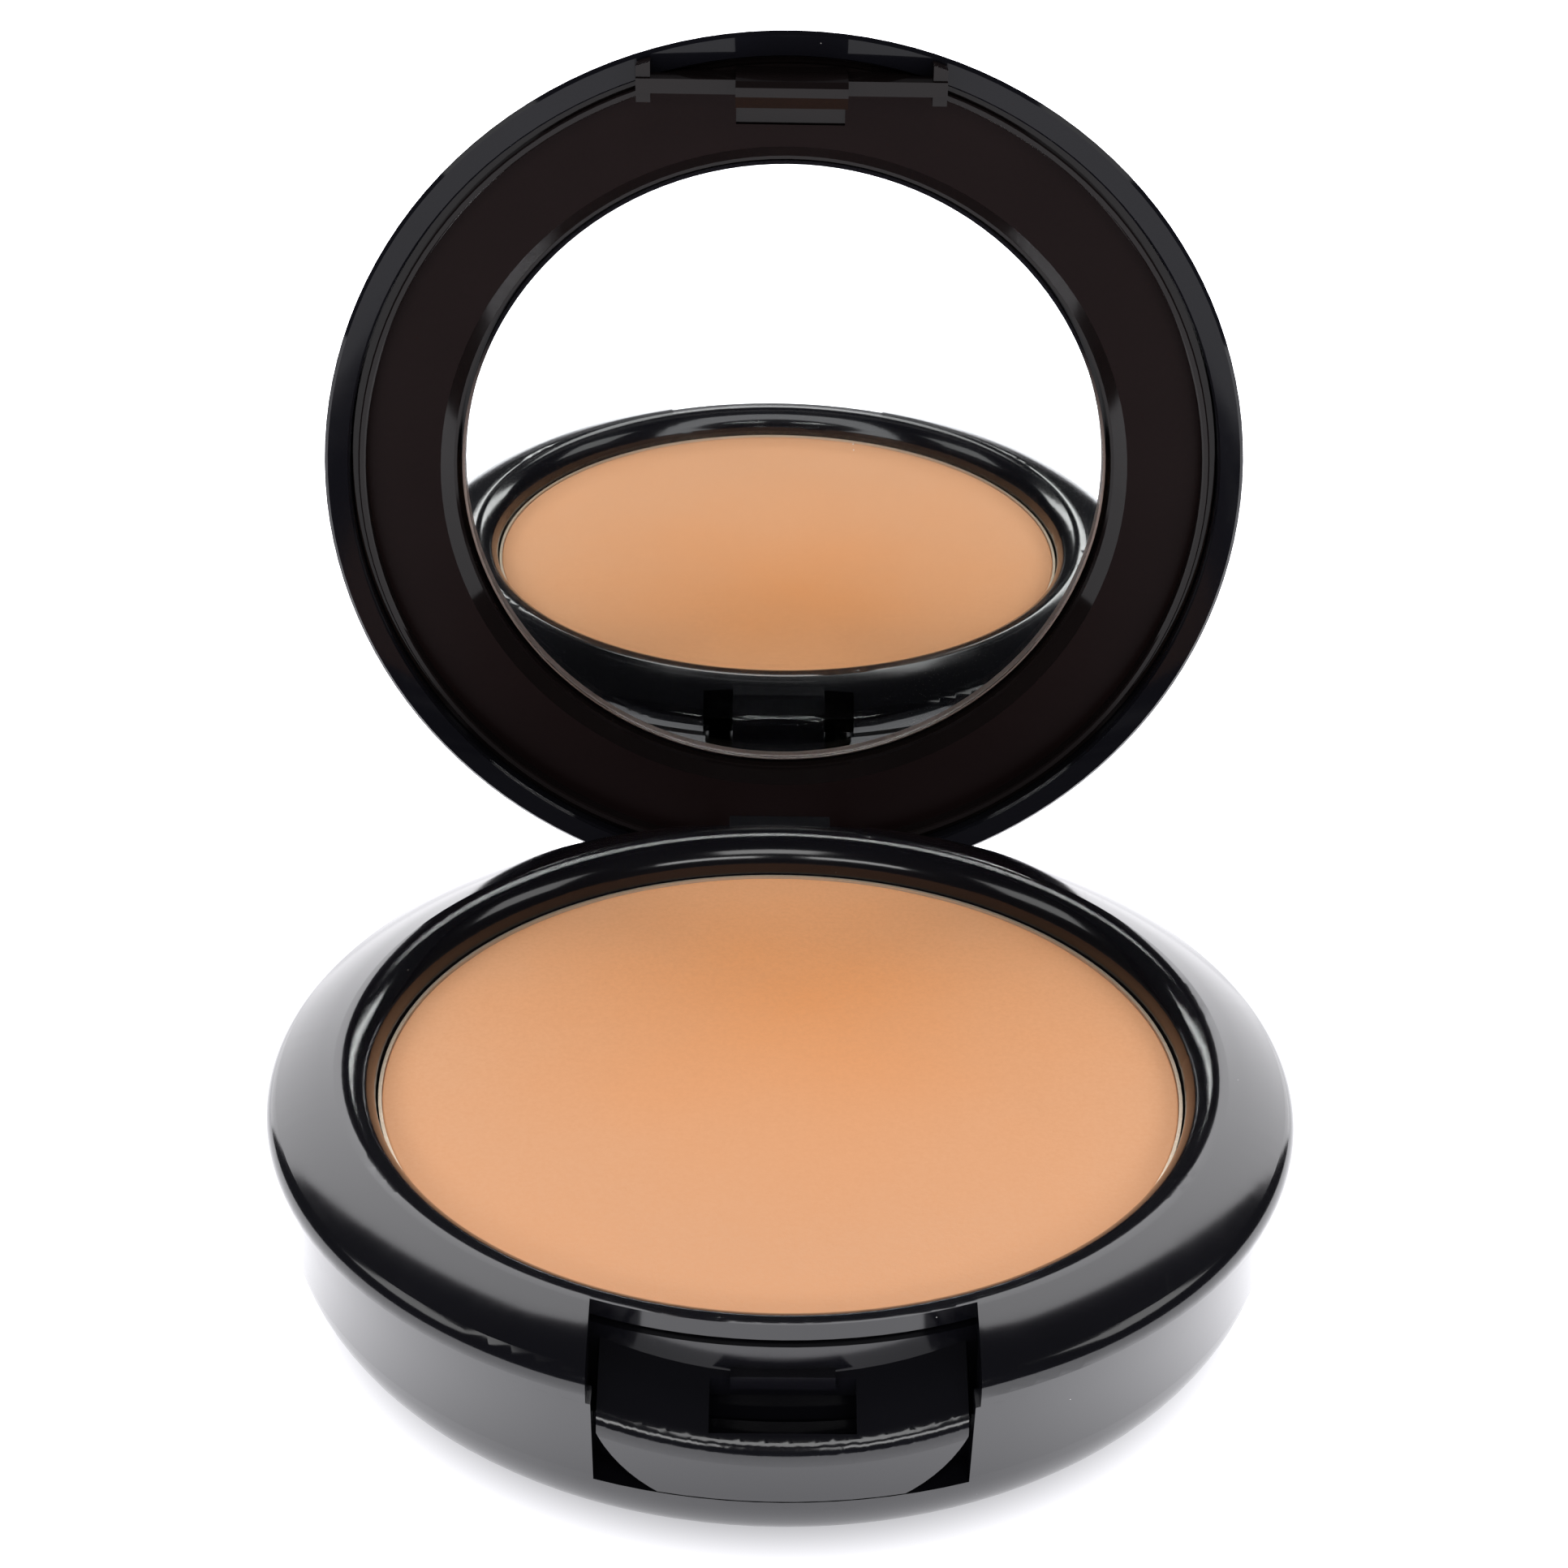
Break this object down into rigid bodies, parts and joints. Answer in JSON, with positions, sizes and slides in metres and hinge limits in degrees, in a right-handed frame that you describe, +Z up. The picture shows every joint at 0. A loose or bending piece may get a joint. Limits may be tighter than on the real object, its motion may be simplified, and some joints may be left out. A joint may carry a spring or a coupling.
{
  "type": "powder compact",
  "caption": "Round hinged powder compact with mirrored lid, snap latch, lift-up tray holding a pan of pressed powder, and a sponge compartment beneath.",
  "frame": {"origin": "centre of the flat underside of the base", "axes": "+Z up out of the base, -Y towards the latch and the user, +Y towards the hinge, +X to the user's right"},
  "size_m": [0.0764, 0.0857, 0.0818],
  "materials": {
    "base_shell": "high-gloss black ABS moulding",
    "base_label": "blank matt film label",
    "sponge": "off-white latex foam with fine open pores",
    "hinge_pin": "drawn steel wire",
    "tray_frame": "high-gloss black ABS moulding",
    "powder_pan": "pressed bright aluminium",
    "powder_cake": "matt pressed powder, warm beige, faint mottling",
    "pan_glue": "thin film of hot-melt glue",
    "lid_shell": "high-gloss black ABS moulding",
    "lid_frame": "satin brown-black ABS moulding",
    "mirror_glass": "clear float glass with a ground edge",
    "mirror_silvering": "silver film behind the glass",
    "mirror_tape": "white double-sided foam tape"
  },
  "bodies": {
    "base": {"base_shell": "base_shell", "base_label": "base_label", "sponge": "sponge", "hinge_pin": "hinge_pin"},
    "tray": {"tray_frame": "tray_frame", "powder_pan": "powder_pan", "powder_cake": "powder_cake", "pan_glue": "pan_glue"},
    "lid": {"lid_shell": "lid_shell", "lid_frame": "lid_frame", "mirror_glass": "mirror_glass", "mirror_silvering": "mirror_silvering", "mirror_tape": "mirror_tape"}
  },
  "joints": [
    {"name": "tray_hinge", "type": "hinge", "parent": "base", "child": "tray", "pos_m": [0, 0.0353, 0.00805], "axis": [-1, 0, 0], "range_deg": [0, 35]},
    {"name": "lid_hinge", "type": "hinge", "parent": "tray", "child": "lid", "pos_m": [0, 0.0353, 0.00805], "axis": [-1, 0, 0], "range_deg": [-87.7, 2.3]}
  ]
}
